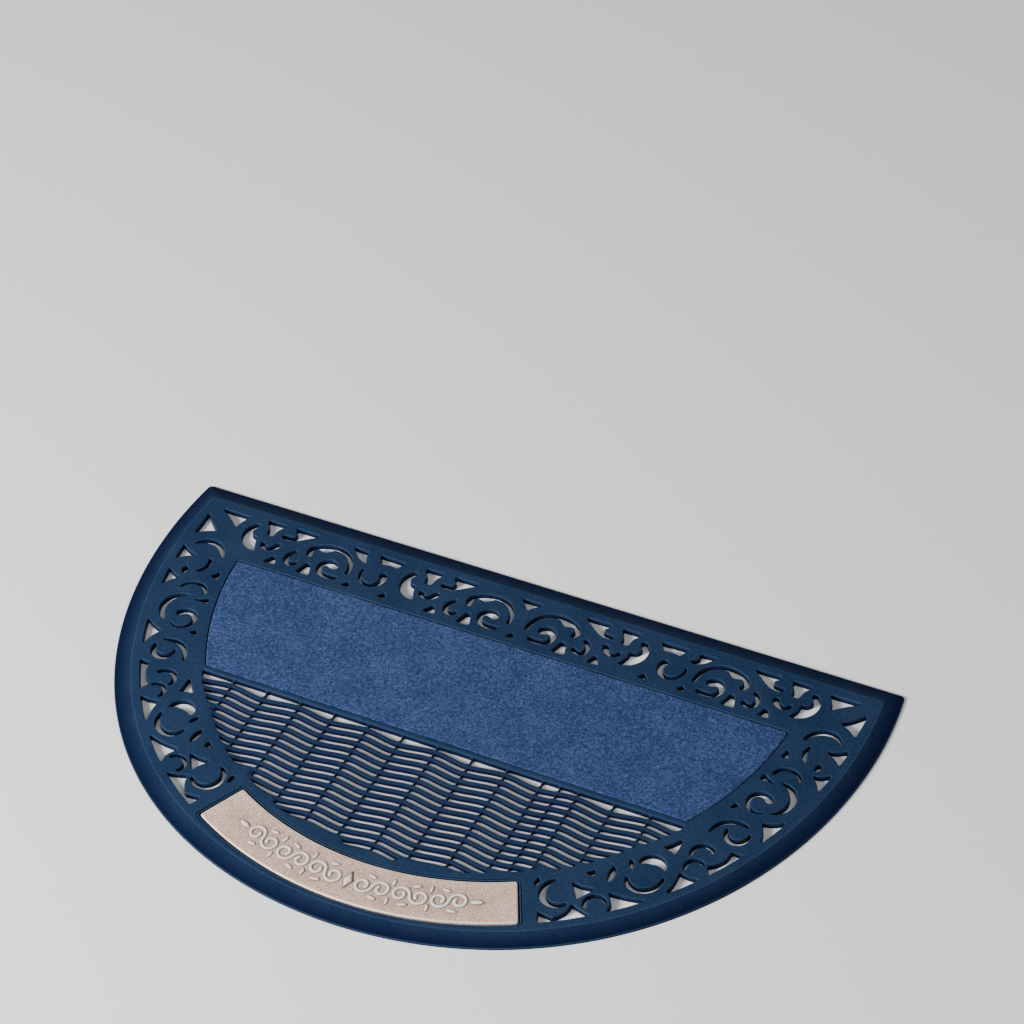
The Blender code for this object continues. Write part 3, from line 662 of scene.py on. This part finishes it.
class Shell:
    """Carried profiles and filled areas that together make one closed mesh."""

    def __init__(self):
        self.points = []
        self.normals = []
        self.painted_light = []
        self.faces = []
        self.face_normals = []
        self.count = 0

    def add(self, points, normals, painted_light):
        """Store points of any array shape and return their numbers in that shape."""
        numbers = self.count + np.arange(points[..., 0].size).reshape(points.shape[:-1])
        self.count += numbers.size
        self.points.append(points.reshape(-1, 3))
        self.normals.append(np.broadcast_to(normals, points.shape).reshape(-1, 3))
        self.painted_light.append(np.broadcast_to(painted_light, numbers.shape).reshape(-1))
        return numbers

    def join(self, numbers, solid_inside):
        """Four-sided faces between each ring and the next, last axis around, the one before up."""
        low, high = numbers[..., :-1, :], numbers[..., 1:, :]
        faces = np.stack([low, np.roll(low, -1, axis=-1), np.roll(high, -1, axis=-1), high], axis=-1)
        self.faces.append(faces.reshape(-1, 4) if solid_inside else faces.reshape(-1, 4)[:, ::-1])
        self.face_normals.append(None)

    def carry(self, outline_at, profile, solid_inside=False):
        """Carry a profile along an outline that is a function of its distance.

        Ring k is the outline at the profile's k-th distance, at its k-th height, and its normal
        is the outline's own normal turned upwards by the profile's turn.
        """
        distance, height, turn, painted_light = np.array(profile, float).T
        flat = np.stack([outline_at(step * MM) for step in distance])
        turn = np.radians(turn)[:, None, None]
        sign = 1 if solid_inside else -1
        normals = turned_up(sign * outward(flat), turn)
        numbers = self.add(at_height(flat, (height * MM)[:, None, None]), normals, painted_light[:, None])
        self.join(numbers, solid_inside)
        return numbers

    def fill(self, outer, holes=(), guides=(), loose=(), level=0):
        """Cover the area between a ring and the rings inside it with Delaunay triangles.

        Guides are closed lines that triangles keep to, and loose points are used as corners.
        The faces look up, and at level 1 or -1 they are shaded flat and look up or down.
        """
        rings = [outer, *holes]
        numbers = np.concatenate([*rings, *guides, *loose])
        starts = np.cumsum([0] + [len(ring) for ring in [*rings, *guides]])
        loops = [list(range(first, last)) for first, last in zip(starts[:-1], starts[1:])]
        lines = [(a, b) for loop in loops[len(rings):] for a, b in zip(loop, loop[1:] + loop[:1])]
        flat = np.concatenate(self.points)[numbers, :2]
        spots, _, triangles, sources, _, owners = geometry.delaunay_2d_cdt(
            flat.tolist(), lines, loops[:len(rings)], 1, 1e-8, True)
        if len(spots) != len(flat) or not all(sources):
            raise RuntimeError("two outlines of this piece cross or touch")
        source = np.array([found[0] for found in sources])
        inside = np.array([owner == [0] for owner in owners])
        corners = source[np.array(triangles)[inside]]
        a, b, c = (flat[corners[:, index]] for index in range(3))
        turned = (b[:, 0] - a[:, 0]) * (c[:, 1] - a[:, 1]) - (b[:, 1] - a[:, 1]) * (c[:, 0] - a[:, 0])
        corners = np.where((turned > 0)[:, None] == (level >= 0), corners, corners[:, ::-1])
        self.faces.append(numbers[corners])
        self.face_normals.append((0, 0, level) if level else None)

    def build(self, name, material):
        """Make the named object, shaded by the stored normals."""
        mesh = bpy.data.meshes.new(name)
        normals = np.concatenate(self.normals)
        mesh.from_pydata(np.concatenate(self.points).tolist(), [],
                         [face for group in self.faces for face in group.tolist()])
        mesh.shade_smooth()
        shading = [normals[group].reshape(-1, 3) if fixed is None else np.tile(fixed, (group.size, 1))
                   for group, fixed in zip(self.faces, self.face_normals)]
        mesh.normals_split_custom_set(np.concatenate(shading).tolist())
        # A value per point: below 0 painted shade, above 0 a painted highlight, and on the plate the
        # paler crest.
        painted_light = mesh.attributes.new("painted_light", "FLOAT", "POINT")
        painted_light.data.foreach_set("value", np.concatenate(self.painted_light).astype(np.float32))
        mesh.materials.append(material)
        return linked(name, mesh)


class Wire:
    """A shader socket on which arithmetic adds Math nodes."""

    def __init__(self, finish, socket):
        self.finish = finish
        self.socket = socket

    def math(self, operation, first, second):
        return self.finish.node("ShaderNodeMath", {"operation": operation}, {0: first, 1: second})

    def __add__(self, other):
        return self.math("ADD", self, other)

    def __sub__(self, other):
        return self.math("SUBTRACT", self, other)

    def __rsub__(self, other):
        return self.math("SUBTRACT", other, self)

    def __mul__(self, other):
        return self.math("MULTIPLY", self, other)

    def __truediv__(self, other):
        return self.math("DIVIDE", self, other)

    def __pow__(self, other):
        return self.math("POWER", self, other)

    __radd__ = __add__

    def held(self, low=0.0, high=1.0):
        """The value kept between two limits."""
        return self.math("MINIMUM", self.math("MAXIMUM", self, low), high)


class Finish:
    """One material and the nodes that feed its shader."""

    def __init__(self, name):
        self.material = bpy.data.materials.new(name)
        self.material.use_nodes = True
        self.tree = self.material.node_tree
        self.shader = self.tree.nodes["Principled BSDF"]
        self.place = self.node("ShaderNodeTexCoord", output="Object")

    def plug(self, socket, value):
        """Link a wire to a socket, or set the socket to a value."""
        if isinstance(value, Wire):
            self.tree.links.new(value.socket, socket)
        else:
            socket.default_value = value

    def node(self, kind, settings=None, values=None, output=0):
        """Add a node, apply its settings, then its sockets' values, and return one output."""
        node = self.tree.nodes.new(kind)
        for name, value in (settings or {}).items():
            setattr(node, name, value)
        for name, value in (values or {}).items():
            self.plug(node.inputs[name], value)
        return Wire(self, node.outputs[output])

    def mix(self, factor, first, second):
        """Blend two colours."""
        values = {0: factor, 6: first, 7: second}
        return self.node("ShaderNodeMix", {"data_type": "RGBA"}, values, output=2)

    def noise(self, scale, detail=2.0, roughness=0.5, distortion=0.0, place=None):
        """Noise with features of about 1 / scale metres."""
        return self.node("ShaderNodeTexNoise", values={
            "Vector": place or self.place, "Scale": scale, "Detail": detail,
            "Roughness": roughness, "Distortion": distortion})

    def set(self, **values):
        """Set or link the shader's sockets by name, spaces written as underscores."""
        for name, value in values.items():
            self.plug(self.shader.inputs[name.replace("_", " ")], value)

    def raise_normal(self, height, distance, strength=1.0):
        """Feed the shader's normal from a height."""
        self.set(Normal=self.node("ShaderNodeBump", values={
            "Strength": strength, "Distance": distance, "Height": height}))


def rubber_finish(group):
    """Navy rubber: mottled bloom on its top, deeper and bluer painted shade on the walls, ties and
    grooves, and painted highlights along the rounded edges.
    """
    finish = Finish("navy_rubber_moulded")
    height = finish.node("ShaderNodeSeparateXYZ", values={0: finish.place}, output=2)
    clouds = finish.noise(14, 3)
    mottle = finish.noise(320, 3, 0.65)
    grain = finish.noise(1500, 2, 0.6)
    painted_light = finish.node("ShaderNodeAttribute", {"attribute_name": "painted_light"}, output="Fac")
    tone = ((clouds - 0.5) * 1.8 + (mottle - 0.5) * 2.2 + 0.5).held()
    top = finish.mix(tone, (*group.colour_dark, 1), (*group.colour, 1))
    # Painted shade: the rubber darkens towards the shade colour lower down, on the walls of the
    # openings, the sunk ties and the recesses.
    open_to_light = ((height - 0.0014) / 0.0038).held() ** 1.6
    colour = finish.mix(open_to_light, (*group.colour_shade, 1), top)
    # Painted highlight: values above 0 pale the rounded edges and the ribs' crests, broken up by the
    # grain.
    colour = finish.mix((painted_light * (0.25 + grain * 0.6)).held(), colour, (*group.colour_edge_highlight, 1))
    # Values below 0 blend towards the painted-shade colour: fully on the walls, the slots' flanks and
    # the grooves, partly on the bevel all round.
    colour = finish.mix((painted_light * -1.0).held(), colour, (*group.colour_shade, 1))
    finish.set(Base_Color=colour, Roughness=0.56 + (mottle - 0.5) * 0.2, Specular_IOR_Level=0.06)
    finish.raise_normal(grain * 0.5 + mottle * 0.5, 0.00012, 0.8)
    return finish.material


def felt_finish(group):
    """Needle felt: short fibres of several blues, in clumps of about 2 mm, with a soft sheen."""
    finish = Finish("blue_needle_felt")
    stretched = [
        finish.node("ShaderNodeMapping", values={
            "Vector": finish.place, "Rotation": (0, 0, math.radians(turn)), "Scale": (1, 2.6, 1)})
        for turn in (25, 95, 150)
    ]
    threads = [finish.noise(scale, 3, 0.65, 0.6, place)
               for scale, place in zip((460, 580, 520), stretched)]
    clumps = finish.noise(380, 4, 0.7, 0.8)
    patches = finish.noise(26, 2)
    fuzz = finish.noise(1900, 2, 0.7)
    fibre = (threads[0] + threads[1] + threads[2]) / 3
    tone = ((fibre - 0.5) * 7.0 + (clumps - 0.5) * 4.2 + (fuzz - 0.5) * 0.8
            + (patches - 0.5) * 0.7 + 0.34).held()
    colour = finish.mix(tone, (*group.colour_dark, 1), (*group.colour_light, 1))
    finish.set(Base_Color=colour, Roughness=0.92, Sheen_Weight=0.03, Sheen_Roughness=0.6,
               Specular_IOR_Level=0.15)
    finish.raise_normal(fibre * 0.6 + clumps * 0.5 + fuzz * 0.2, 0.0009, 0.9)
    return finish.material


def plate_finish(group):
    """Champagne plate: a sand-blasted ground, a paler raised scroll with a painted highlight on its
    crest and painted shade at its foot.
    """
    finish = Finish("champagne_sand_plate")
    grain = finish.noise(700, 4, 0.75)
    clouds = finish.noise(60, 2)
    painted_light = finish.node("ShaderNodeAttribute", {"attribute_name": "painted_light"}, output="Fac")
    tone = ((grain - 0.5) * 5.0 + (clouds - 0.5) * 0.6 + 0.5).held()
    ground = finish.mix(tone, (*group.colour_dark, 1), (*group.colour, 1))
    # Values above 0 pale the crest, partly its own cream tone and partly a painted highlight, and the
    # plate's rounded edge, a painted highlight; values below 0 give the painted shade at the foot.
    raised = painted_light.held()
    shade = (painted_light * -1.0).held()
    colour = finish.mix(raised, ground, (*group.colour_raised, 1))
    colour = finish.mix(shade, colour, (*group.colour_foot, 1))
    finish.set(Base_Color=colour, Metallic=0.15, Roughness=0.58 - raised * 0.26 + (grain - 0.5) * 0.2)
    finish.raise_normal(grain * (1 - raised * 0.7), 0.0004, 1.0)
    return finish.material


def length_setting(name, description, default, low, high):
    """A short length between two limits."""
    return FloatProperty(name=name, description=description, default=default, min=low, max=high,
                         subtype="DISTANCE", unit="LENGTH", precision=5)


def colour_setting(name, description, default):
    """A colour by its linear red, green and blue."""
    return FloatVectorProperty(name=name, description=description, default=default,
                               subtype="COLOR", min=0, max=1)


def angle_setting(name, description, degrees):
    """An angle whose default is in degrees."""
    return FloatProperty(name=name, description=description, default=math.radians(degrees),
                         subtype="ANGLE", unit="ROTATION")


class DoormatBody(bpy.types.PropertyGroup):
    """Sizes and colours of the rubber body."""

    edge_round: length_setting(
        "Edge Round", "Rounding of the openings' upper edges", 0.0007, 0.0001, 0.0009)
    rib_round: length_setting(
        "Rib Round", "Rounding of the grille's ribs, across them", 0.00125, 0.0002, 0.0013)
    rib_drop: length_setting("Rib Drop", "Depth of the ribs' rounding", 0.0015, 0.0002, 0.003)
    tie_dip: length_setting("Tie Dip", "How far the ties sag below the ribs", 0.0021, 0.0, 0.0025)
    colour: colour_setting("Top Colour", "Bloom on the top of the rubber", (0.0185, 0.036, 0.079))
    colour_dark: colour_setting("Dark Colour", "Darker mottling of the top", (0.0072, 0.0219, 0.056))
    # Painted shade: the colour that the walls, ties and grooves darken towards.
    colour_shade: colour_setting("Shade Colour", "Painted shade on walls, ties and grooves", (0.0010, 0.0045, 0.024))
    # Painted highlight along the rounded edges and the ribs' crests.
    colour_edge_highlight: colour_setting("Edge Highlight Colour", "Painted highlight on the rounded edges", (0.036, 0.070, 0.115))


class DoormatFelt(bpy.types.PropertyGroup):
    """Sizes and colours of the felt insert."""

    swell: length_setting("Swell", "Height of the felt's unevenness", 0.00008, 0.0, 0.0004)
    colour_dark: colour_setting("Dark Fibre", "Darkest fibres", (0.0065, 0.022, 0.080))
    colour_light: colour_setting("Light Fibre", "Palest fibres", (0.056, 0.097, 0.244))


class DoormatPlate(bpy.types.PropertyGroup):
    """Colours of the ornamented plate."""

    colour: colour_setting("Ground Colour", "Lighter grains of the ground", (0.92, 0.68, 0.56))
    colour_dark: colour_setting("Grain Colour", "Darker grains of the ground", (0.47, 0.29, 0.21))
    # The crest's paler colour is partly the scroll's own cream tone and partly a painted highlight; the
    # plate's rounded edge takes it as a painted highlight.
    colour_raised: colour_setting("Raised Colour", "Crest of the raised scroll", (0.92, 0.86, 0.76))
    colour_foot: colour_setting("Foot Colour", "Shade at the foot of the scroll", (0.11, 0.08, 0.06))


class DoormatStage(bpy.types.PropertyGroup):
    """Floor, light and camera."""

    floor_colour: colour_setting("Floor Colour", "Plain pale floor", (0.93, 0.93, 0.94))
    turn: angle_setting("Camera Turn", "Turn of the camera from the front", 30.841)
    rise: angle_setting("Camera Rise", "Angle of the camera above the floor", 44.391)
    roll: angle_setting("Camera Roll", "Roll of the camera about its view", -6.090)
    distance: FloatProperty(
        name="Camera Distance", description="Distance of the camera from its target",
        default=3.808, min=0.5, subtype="DISTANCE", unit="LENGTH")
    key_power: FloatProperty(
        name="Key Power", description="Power of the large light at the front left",
        default=262.0, min=0.0, unit="POWER")
    sky: FloatProperty(
        name="Sky", description="Strength of the even light from all round", default=0.34, min=0.0)


class DOORMAT_OT_body(bpy.types.Operator):
    """Make the rubber body with its rim, scrollwork, grille and recesses"""

    bl_idname = "doormat.body"
    bl_label = "Rubber Body"

    def execute(self, context):
        group = context.scene.doormat_body
        shell = Shell()
        rim = shell.carry(rim_outline, RIM_PROFILE, solid_inside=True)
        felt = shell.carry(felt_outline, FELT_RECESS_PROFILE)
        plate = shell.carry(plate_outline, PLATE_RECESS_PROFILE)
        turn = np.radians(EDGE_TURNS)
        edge = group.edge_round / MM
        profile = np.stack([edge * (1 - np.cos(turn)), BODY_TOP / MM - edge * (1 - np.sin(turn)),
                            EDGE_TURNS, OPENING_PAINTED_LIGHT], axis=1)
        profile[0, :2] = -OPENING_DRAFT, 0.0
        openings = [
            shell.carry(lambda grow, ring=ring, facing=outward(ring): ring + facing * grow, profile)
            for ring in border_openings()
        ]
        points, normals = slot_rings(group.rib_round, group.rib_drop, group.tie_dip)
        slots = shell.add(points, normals, np.array(SLOT_PAINTED_LIGHT)[None, :, None])
        shell.join(slots, solid_inside=False)
        guide = half_round(lambda angle: GUIDE_RADIUS + 0 * angle, GUIDE_NEAR, GUIDE_CORNER, 120)
        guide = shell.add(at_height(guide, BODY_TOP), (0, 0, 1), 0.0)
        holes = [felt[-1], plate[-1], *(ring[-1] for ring in openings), *slots[:, -1]]
        shell.fill(rim[-1], holes, [guide])
        shell.fill(rim[0], [*(ring[0] for ring in openings), *slots[:, 0]], level=-1)
        shell.fill(felt[0], level=1)
        shell.fill(plate[0], level=1)
        piece = shell.build("rubber_body", rubber_finish(group))
        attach(piece, "root")
        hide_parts("rubber_mat")
        return {"FINISHED"}


class DOORMAT_OT_felt(bpy.types.Operator):
    """Make the felt insert"""

    bl_idname = "doormat.felt"
    bl_label = "Felt Insert"

    def execute(self, context):
        group = context.scene.doormat_felt
        shell = Shell()
        bottom = (RECESS_FLOOR + FIT_GAP) / MM
        top = FELT_TOP / MM
        rings = shell.carry(lambda inset: felt_outline(-FELT_CLEARANCE - inset), [
            (0.30, bottom, 0, 0), (0.0, bottom + 0.4, 0, 0), (0.0, top - 0.9, 0, 0),
            (0.25, top - 0.40, 40, 0), (0.75, top - 0.12, 66, 0), (1.6, top, 90, 0),
        ], solid_inside=True)
        phase = np.random.default_rng(5).uniform(0, 2 * np.pi, 5)
        waves = np.array([(61, 23), (-38, 57), (101, -64), (-87, -95), (140, 48)])

        def swell(points):
            """Sum of five crossed sine waves of the place."""
            return group.swell * np.sin(points @ waves.T + phase).sum(axis=-1) / 2

        columns, rows = np.meshgrid(np.arange(-SWELL_REACH, SWELL_REACH, SWELL_STEP),
                                    np.arange(FELT_NEAR, FELT_FAR, SWELL_STEP))
        spots = np.stack([columns, DEPTH / 2 - rows], axis=-1).reshape(-1, 2)
        radius = np.hypot(spots[:, 0], spots[:, 1] - ARC_LINE)
        inside = ((radius < FELT_RADIUS - SWELL_MARGIN)
                  & (spots[:, 1] < DEPTH / 2 - FELT_NEAR - SWELL_MARGIN)
                  & (spots[:, 1] > DEPTH / 2 - FELT_FAR + SWELL_MARGIN))
        spots = spots[inside]
        upright = np.tile((0.0, 0.0, 1.0), (len(spots), 1))
        loose = shell.add(at_height(spots, (FELT_TOP + swell(spots))[:, None]),
                          tilted(upright, spots, swell), 0.0)
        shell.fill(rings[-1], loose=[loose])
        shell.fill(rings[0], level=-1)
        piece = shell.build("felt_insert", felt_finish(group))
        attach(piece, "root")
        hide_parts("carpet_insert")
        return {"FINISHED"}


class DOORMAT_OT_plate(bpy.types.Operator):
    """Make the curved plate with its raised scroll"""

    bl_idname = "doormat.plate"
    bl_label = "Ornament Plate"

    def execute(self, context):
        group = context.scene.doormat_plate
        shell = Shell()
        bottom = (RECESS_FLOOR + FIT_GAP) / MM
        top = PLATE_TOP / MM
        # The plate's rounded edge is paled towards the crest colour as a painted highlight.
        rings = shell.carry(lambda inset: plate_outline(-PLATE_CLEARANCE - inset), [
            (0.0, bottom, 0, 0), (0.0, top - 1.0, 0, 0), (0.12, top - 0.55, 30, 0.3),
            (0.45, top - 0.2, 55, 0.8), (0.9, top - 0.04, 78, 0.7), (1.5, top, 90, 0),
        ], solid_inside=True)
        shares, *columns = np.array(RELIEF_PROFILE).T
        out, height, turn, painted_light = (column[:, None, None] for column in columns)
        half = [[on_plate(scroll(*shape, share), place, depth) for share in shares]
                for place, depth, *shape in RELIEF_SCROLLS]
        half += [[on_plate(lens(*shape, share=share), place, depth) for share in shares]
                 for place, depth, *shape in RELIEF_LEAVES]
        lozenge = [on_plate(softened(np.array(RELIEF_LOZENGE) * share, tip=0.4 * share), 0, 0)
                   for share in shares]
        other = [[ring * (-1, 1) for ring in outlines] for outlines in half]
        feet = []
        for outlines in [*half, *other, lozenge]:
            flat = np.stack([anticlockwise(ring) for ring in outlines])
            flat = flat + outward(flat) * out * MM
            numbers = shell.add(at_height(flat, (top + height) * MM),
                                turned_up(outward(flat), np.radians(turn)), painted_light[..., 0])
            shell.join(numbers, solid_inside=True)
            shell.fill(numbers[-1], level=1)
            feet.append(numbers[0])
        shell.fill(rings[-1], feet, level=1)
        shell.fill(rings[0], level=-1)
        piece = shell.build("ornament_plate", plate_finish(group))
        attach(piece, "root")
        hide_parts("plaque")
        return {"FINISHED"}


class DOORMAT_OT_stage(bpy.types.Operator):
    """Lay the floor and set the lights and the camera"""

    bl_idname = "doormat.stage"
    bl_label = "Stage"

    def execute(self, context):
        group = context.scene.doormat_stage
        scene = context.scene
        finish = Finish("pale_floor")
        finish.set(Base_Color=(*group.floor_colour, 1), Roughness=0.85, Specular_IOR_Level=0.1)
        mesh = bpy.data.meshes.new("floor")
        far = FLOOR_REACH
        corners = [(-far, -far, 0), (far, -far, 0), (far, far, 0), (-far, far, 0)]
        mesh.from_pydata(corners, [], [(0, 1, 2, 3)])
        mesh.materials.append(finish.material)
        floor = linked("floor", mesh)

        world = scene.world or bpy.data.worlds.new("even_sky")
        scene.world = world
        world.use_nodes = True
        sky = world.node_tree.nodes["Background"]
        sky.inputs["Color"].default_value = SKY_COLOUR
        sky.inputs["Strength"].default_value = group.sky

        for name, place, size, share in LIGHTS:
            lamp = bpy.data.lights.new(name, "AREA")
            lamp.energy = group.key_power * share
            lamp.size = size
            aim(linked(name, lamp), np.array(place), np.zeros(3), 0.0)

        back = np.array((math.sin(group.turn) * math.cos(group.rise),
                         -math.cos(group.turn) * math.cos(group.rise), math.sin(group.rise)))
        target = np.array(CAMERA_TARGET)
        lens_data = bpy.data.cameras.new("camera")
        lens_data.lens = CAMERA_LENS
        scene.camera = linked("camera", lens_data)
        aim(scene.camera, target + back * group.distance, target, group.roll)
        return {"FINISHED"}


def aim(thing, place, target, roll):
    """Turn a light or camera at a place to look at the target, then roll it about its view."""
    back = unit(place - target)
    right = unit(np.cross((0, 0, 1), back))
    up = np.cross(back, right)
    cosine, sine = math.cos(roll), math.sin(roll)
    columns = np.stack([right * cosine + up * sine, up * cosine - right * sine, back, place], axis=1)
    thing.matrix_world = Matrix([*columns.tolist(), (0, 0, 0, 1)])


class DOORMAT_PT_panel(bpy.types.Panel):
    """Steps that make the doormat"""

    bl_label = "Doormat"
    bl_idname = "DOORMAT_PT_panel"
    bl_space_type = "VIEW_3D"
    bl_region_type = "UI"
    bl_category = "Doormat"

    def draw(self, context):
        for step in STEPS:
            self.layout.operator(step.bl_idname)
        for name in GROUPS:
            group = getattr(context.scene, name)
            box = self.layout.box()
            for field in group.bl_rna.properties:
                if field.identifier not in {"rna_type", "name"}:
                    box.prop(group, field.identifier)


STEPS = (DOORMAT_OT_body, DOORMAT_OT_felt, DOORMAT_OT_plate, DOORMAT_OT_stage)
GROUPS = {"doormat_body": DoormatBody, "doormat_felt": DoormatFelt,
          "doormat_plate": DoormatPlate, "doormat_stage": DoormatStage}


def register():
    """Register the classes and add their settings to the scene."""
    for item in (*GROUPS.values(), *STEPS, DOORMAT_PT_panel):
        bpy.utils.register_class(item)
    for name, group in GROUPS.items():
        setattr(bpy.types.Scene, name, PointerProperty(type=group))


def unregister():
    """Remove the settings and the classes."""
    for name in GROUPS:
        delattr(bpy.types.Scene, name)
    for item in reversed((*GROUPS.values(), *STEPS, DOORMAT_PT_panel)):
        bpy.utils.unregister_class(item)


def main():
    """Make the mat and its stage."""
    register()
    bpy.ops.doormat.stage()
    bpy.ops.doormat.body()
    bpy.ops.doormat.felt()
    bpy.ops.doormat.plate()
    bpy.context.view_layer.update()


if __name__ == "__main__":
    main()
